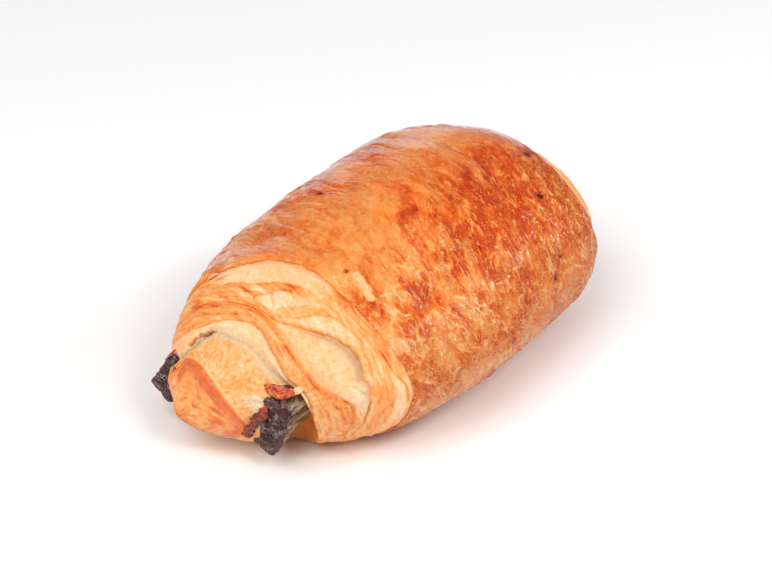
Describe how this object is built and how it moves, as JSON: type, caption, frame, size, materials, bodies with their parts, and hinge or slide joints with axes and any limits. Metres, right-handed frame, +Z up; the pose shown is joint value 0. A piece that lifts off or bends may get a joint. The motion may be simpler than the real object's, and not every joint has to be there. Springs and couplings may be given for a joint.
{
  "type": "pain au chocolat",
  "caption": "Baked pastry: a sheet of laminated dough rolled round bars of dark chocolate, egg-washed, lying on its flat underside.",
  "frame": {"origin": "centre of the underside's plane, under the middle of the whole pastry's box", "axes": "+X along the roll and the chocolate bars, from the end that opened in the oven to the closed end; +Y across the roll; +Z up from the surface it lies on"},
  "size_m": [0.1108, 0.0728, 0.0448],
  "materials": {
    "baked_dough": "satin",
    "dark_chocolate": "matte"
  },
  "bodies": {
    "root": {"pastry": "baked_dough", "chocolate_stick_left": "dark_chocolate", "chocolate_stick_right": "dark_chocolate"}
  },
  "joints": []
}
